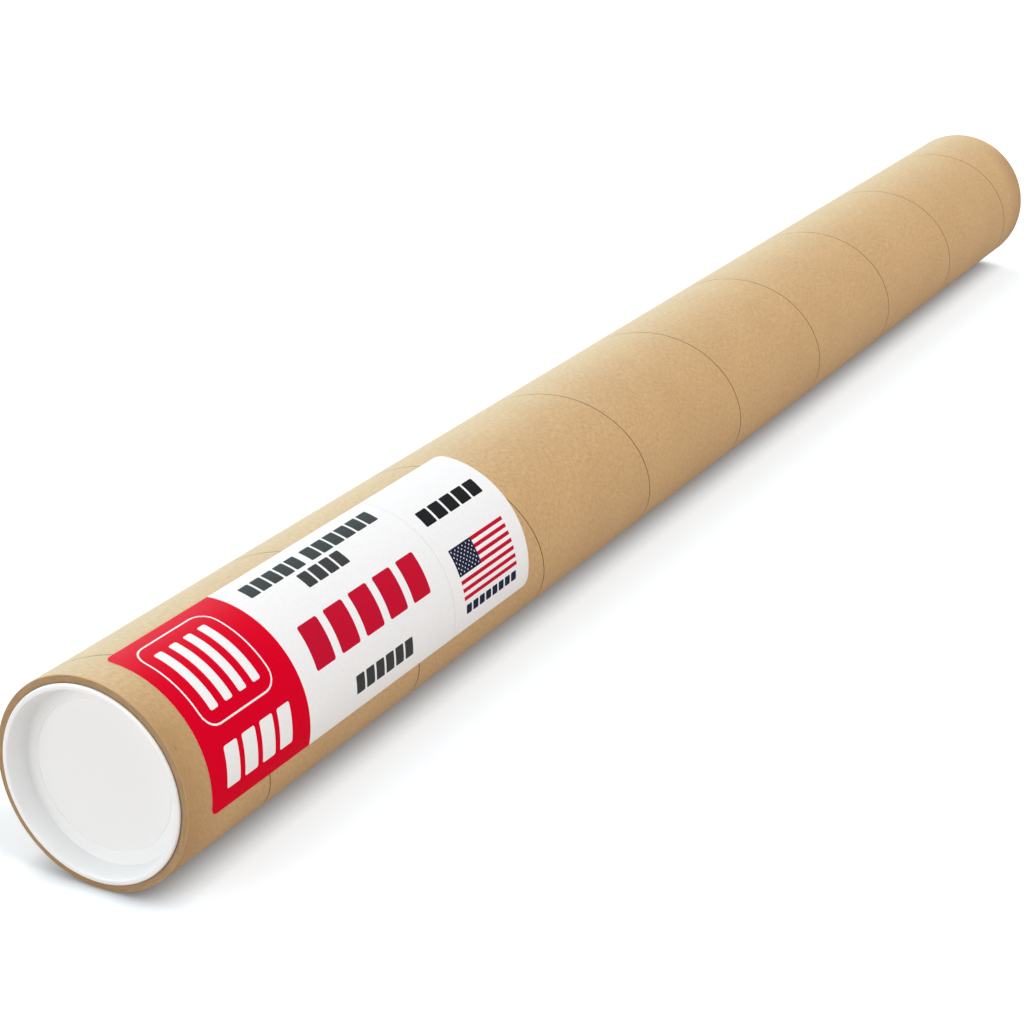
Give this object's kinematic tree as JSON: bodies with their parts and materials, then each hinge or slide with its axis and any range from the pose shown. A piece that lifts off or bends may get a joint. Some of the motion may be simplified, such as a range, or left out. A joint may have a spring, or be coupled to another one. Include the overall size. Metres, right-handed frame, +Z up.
{
  "type": "cardboard mailing tube",
  "caption": "Long spiral-wound paperboard mailing tube with push-in white plastic end plugs and a printed paper label.",
  "frame": {"origin": "bottom centre of the whole object, on the floor under the middle of the tube", "axes": "+Y along the tube from the labelled end to the other end, +Z up, +X to the side that the label wraps down"},
  "size_m": [0.111, 1.2228, 0.1109],
  "materials": {
    "paperboard": "matte brown paper with fine fibres",
    "cap_plastic": "satin white moulded plastic",
    "label_paper": "satin white label paper with red, grey and navy print"
  },
  "bodies": {
    "tube_body": {"tube": "paperboard", "label": "label_paper"},
    "near_cap_body": {"near_end_cap": "cap_plastic"},
    "far_cap_body": {"far_end_cap": "cap_plastic"}
  },
  "joints": [
    {"name": "near_cap_pull", "type": "slide", "parent": "tube_body", "child": "near_cap_body", "axis": [0, -1, 0], "range_m": [0, 0.03]},
    {"name": "far_cap_pull", "type": "slide", "parent": "tube_body", "child": "far_cap_body", "axis": [0, 1, 0], "range_m": [0, 0.03]}
  ]
}
